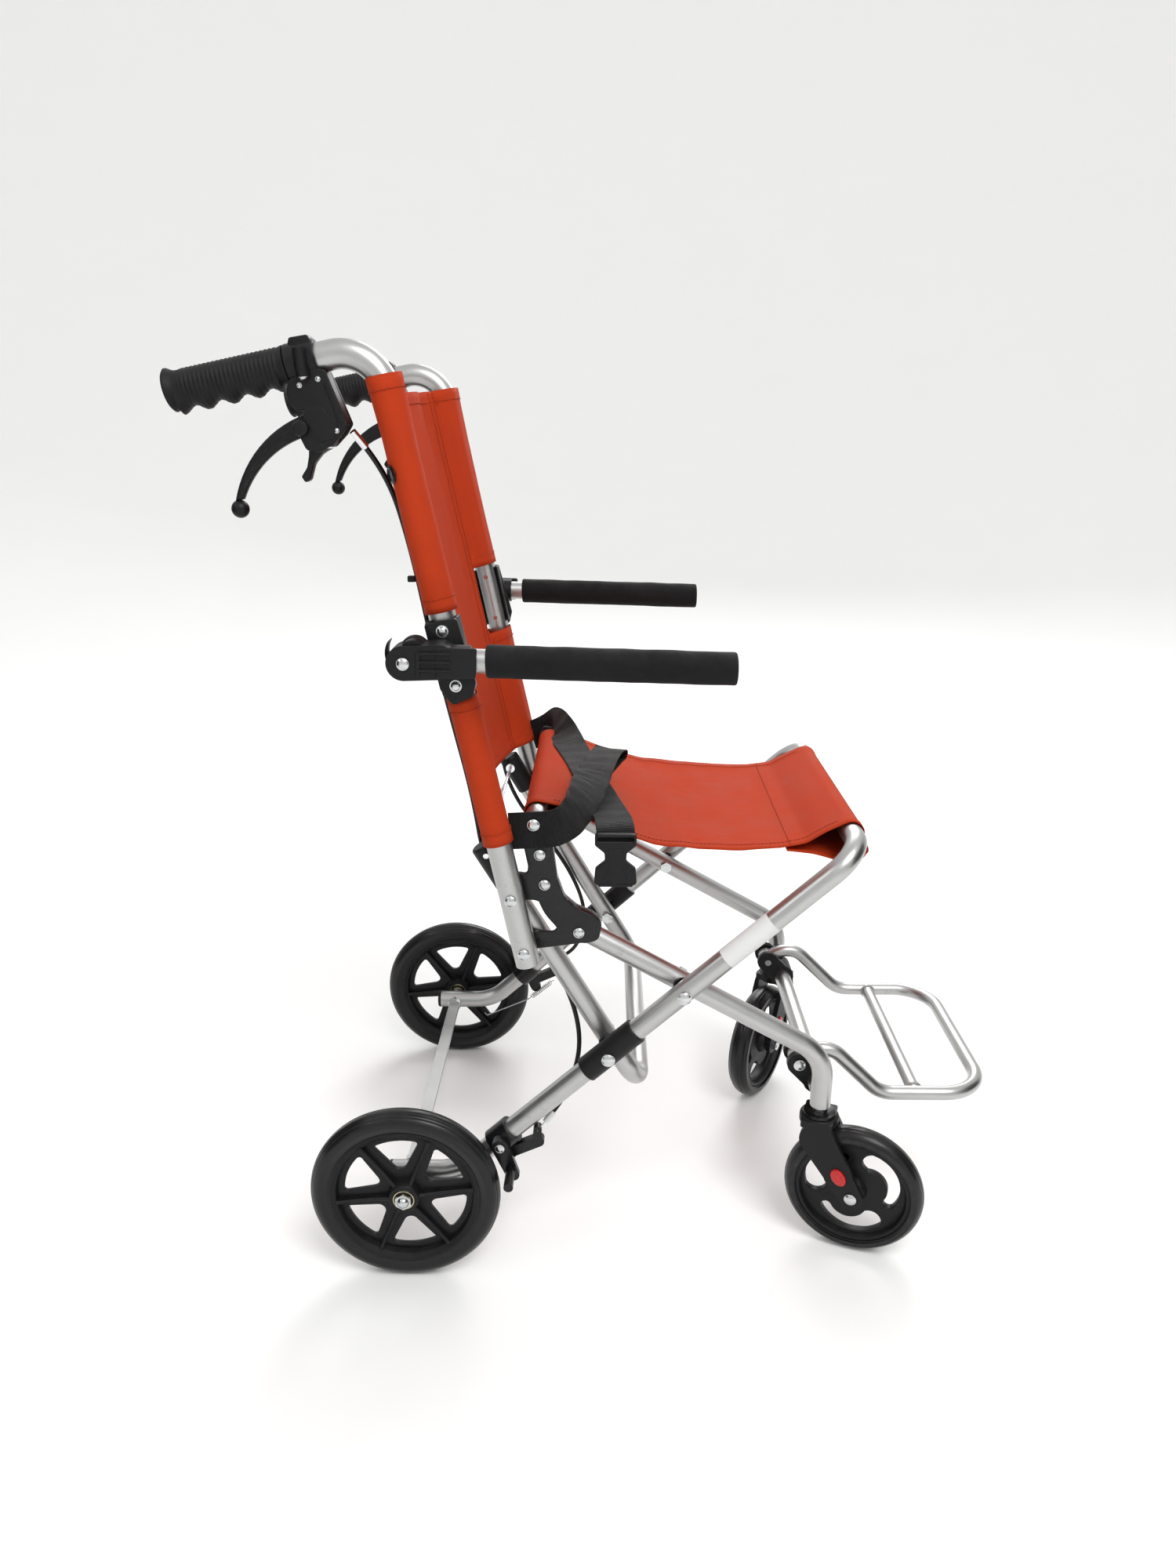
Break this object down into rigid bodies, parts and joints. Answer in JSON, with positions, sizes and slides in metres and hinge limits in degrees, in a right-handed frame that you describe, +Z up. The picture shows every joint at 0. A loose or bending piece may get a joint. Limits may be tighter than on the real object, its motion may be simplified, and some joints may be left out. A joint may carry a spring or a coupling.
{
  "type": "transport wheelchair",
  "caption": "Folding transport chair with scissor tube frame, slung orange seat and back, flip-up armrests, loop footrest, push handles with brake levers, rear wheels and swivel casters.",
  "frame": {"origin": "on the floor under the middle of the chair's length and width", "axes": "+X forward (the way the sitter faces), +Y to the sitter's left, +Z up"},
  "size_m": [0.8143, 0.488, 0.9368],
  "materials": {
    "anodised_tube": "satin anodised",
    "moulded_plastic": "fine moulded grain",
    "grip_rubber": "soft ribbed",
    "pad_foam": "skinned foam",
    "tyre_rubber": "smooth tread",
    "sling_cloth": "woven nylon",
    "webbing": "ribbed webbing",
    "zinc_steel": "zinc plated",
    "cable_sheath": "smooth sheath",
    "red_reflector": "ribbed lens"
  },
  "bodies": {
    "back_frame": {"back_frame_tube": "anodised_tube", "side_bracket_left": "moulded_plastic", "side_bracket_right": "moulded_plastic", "backrest_tube_left": "anodised_tube", "backrest_tube_right": "anodised_tube", "handle_grip_left": "grip_rubber", "handle_grip_right": "grip_rubber", "brake_housing_left": "moulded_plastic", "brake_housing_right": "moulded_plastic", "arm_brackets": "moulded_plastic", "backrest_fabric": "sling_cloth", "seat_fabric": "sling_cloth", "lap_belt": "webbing", "belt_buckle": "moulded_plastic", "footrest_brackets": "moulded_plastic", "footrest_cross_tube": "anodised_tube", "back_frame_fasteners": "zinc_steel", "brake_cable_left": "cable_sheath", "brake_cable_right": "cable_sheath"},
    "front_frame": {"front_frame_tube": "anodised_tube", "tube_plugs": "moulded_plastic", "brace_sleeves": "moulded_plastic", "rear_cross_bar": "zinc_steel", "rear_axles": "zinc_steel", "wheel_brake_mounts": "moulded_plastic", "front_frame_fasteners": "zinc_steel"},
    "brace": {"brace_tube": "anodised_tube", "brace_end_caps": "moulded_plastic", "release_wire": "zinc_steel"},
    "footrest": {"footrest_frame": "anodised_tube"},
    "rear_wheel_right": {"rear_tyre_right": "tyre_rubber", "rear_rim_right": "moulded_plastic"},
    "wheel_brake_arm_right": {"wheel_brake_arm_right": "moulded_plastic"},
    "caster_fork_right": {"caster_fork_right": "moulded_plastic", "caster_hardware_right": "zinc_steel", "caster_reflector_right": "red_reflector"},
    "caster_wheel_right": {"caster_tyre_right": "tyre_rubber", "caster_rim_right": "moulded_plastic"},
    "armrest_right": {"arm_hinge_right": "moulded_plastic", "armrest_tube_right": "anodised_tube", "armrest_pad_right": "pad_foam"},
    "brake_lever_right": {"brake_lever_right": "moulded_plastic"},
    "lock_finger_right": {"lock_finger_right": "moulded_plastic"},
    "lock_pin_right": {"lock_pin_right": "zinc_steel"},
    "rear_wheel_left": {"rear_tyre_left": "tyre_rubber", "rear_rim_left": "moulded_plastic"},
    "wheel_brake_arm_left": {"wheel_brake_arm_left": "moulded_plastic"},
    "caster_fork_left": {"caster_fork_left": "moulded_plastic", "caster_hardware_left": "zinc_steel", "caster_reflector_left": "red_reflector"},
    "caster_wheel_left": {"caster_tyre_left": "tyre_rubber", "caster_rim_left": "moulded_plastic"},
    "armrest_left": {"arm_hinge_left": "moulded_plastic", "armrest_tube_left": "anodised_tube", "armrest_pad_left": "pad_foam"},
    "brake_lever_left": {"brake_lever_left": "moulded_plastic"},
    "lock_finger_left": {"lock_finger_left": "moulded_plastic"},
    "lock_pin_left": {"lock_pin_left": "zinc_steel"}
  },
  "joints": [
    {"name": "frame_fold", "type": "hinge", "parent": "back_frame", "child": "front_frame", "pos_m": [0.051, 0, 0.318], "axis": [0, -1, 0], "range_deg": [0, 60], "deforming": ["seat_fabric", "brake_cable_left", "brake_cable_right", "lap_belt"]},
    {"name": "brace_swing", "type": "hinge", "parent": "front_frame", "child": "brace", "pos_m": [-0.02555, 0, 0.2476], "axis": [0, -1, 0], "range_deg": [-42, 0]},
    {"name": "footrest_flip", "type": "hinge", "parent": "back_frame", "child": "footrest", "pos_m": [0.184, 0, 0.203], "axis": [0, -1, 0], "range_deg": [0, 85]},
    {"name": "rear_wheel_spin_right", "type": "hinge", "parent": "front_frame", "child": "rear_wheel_right", "pos_m": [-0.238, -0.221, 0.1], "axis": [0, 1, 0], "continuous": true},
    {"name": "wheel_brake_right", "type": "hinge", "parent": "front_frame", "child": "wheel_brake_arm_right", "pos_m": [-0.139, -0.204, 0.145], "axis": [0, 1, 0], "range_deg": [0, 9.2]},
    {"name": "caster_swivel_right", "type": "hinge", "parent": "back_frame", "child": "caster_fork_right", "pos_m": [0.204, -0.161, 0.165], "axis": [0, 0, 1], "continuous": true},
    {"name": "caster_spin_right", "type": "hinge", "parent": "caster_fork_right", "child": "caster_wheel_right", "pos_m": [0.24347, -0.17536, 0.075], "axis": [0.342, 0.9397, 0], "continuous": true},
    {"name": "armrest_flip_right", "type": "hinge", "parent": "back_frame", "child": "armrest_right", "pos_m": [-0.208, -0.224, 0.668], "axis": [0, -1, 0], "range_deg": [0, 98]},
    {"name": "lever_squeeze_right", "type": "hinge", "parent": "back_frame", "child": "brake_lever_right", "pos_m": [-0.292, -0.186, 0.864], "axis": [0, 1, 0], "range_deg": [0, 20], "stiffness_Nm_per_rad": 0.8, "springref_deg": -11.46},
    {"name": "parking_lock_right", "type": "hinge", "parent": "back_frame", "child": "lock_finger_right", "pos_m": [-0.27, -0.186, 0.85], "axis": [0, -1, 0], "range_deg": [0, 30]},
    {"name": "lock_pin_pull_right", "type": "slide", "parent": "brace", "child": "lock_pin_right", "axis": [0, 1, 0], "range_m": [0, 0.006], "stiffness_N_per_m": 600, "springref_m": -0.004},
    {"name": "rear_wheel_spin_left", "type": "hinge", "parent": "front_frame", "child": "rear_wheel_left", "pos_m": [-0.238, 0.221, 0.1], "axis": [0, 1, 0], "continuous": true},
    {"name": "wheel_brake_left", "type": "hinge", "parent": "front_frame", "child": "wheel_brake_arm_left", "pos_m": [-0.139, 0.204, 0.145], "axis": [0, 1, 0], "range_deg": [0, 9.2]},
    {"name": "caster_swivel_left", "type": "hinge", "parent": "back_frame", "child": "caster_fork_left", "pos_m": [0.204, 0.161, 0.165], "axis": [0, 0, 1], "continuous": true},
    {"name": "caster_spin_left", "type": "hinge", "parent": "caster_fork_left", "child": "caster_wheel_left", "pos_m": [0.18174, 0.12538, 0.075], "axis": [0.848, -0.5299, 0], "continuous": true},
    {"name": "armrest_flip_left", "type": "hinge", "parent": "back_frame", "child": "armrest_left", "pos_m": [-0.208, 0.224, 0.668], "axis": [0, -1, 0], "range_deg": [0, 98]},
    {"name": "lever_squeeze_left", "type": "hinge", "parent": "back_frame", "child": "brake_lever_left", "pos_m": [-0.292, 0.186, 0.864], "axis": [0, 1, 0], "range_deg": [0, 20], "stiffness_Nm_per_rad": 0.8, "springref_deg": -11.46},
    {"name": "parking_lock_left", "type": "hinge", "parent": "back_frame", "child": "lock_finger_left", "pos_m": [-0.27, 0.186, 0.85], "axis": [0, -1, 0], "range_deg": [0, 30]},
    {"name": "lock_pin_pull_left", "type": "slide", "parent": "brace", "child": "lock_pin_left", "axis": [0, -1, 0], "range_m": [0, 0.006], "stiffness_N_per_m": 600, "springref_m": -0.004}
  ],
  "couplings": [
    {"joint": "brace_swing", "follows": "frame_fold", "ratio": -0.7},
    {"joint": "wheel_brake_right", "follows": "lever_squeeze_right", "ratio": 0.45},
    {"joint": "wheel_brake_left", "follows": "lever_squeeze_left", "ratio": 0.45}
  ]
}
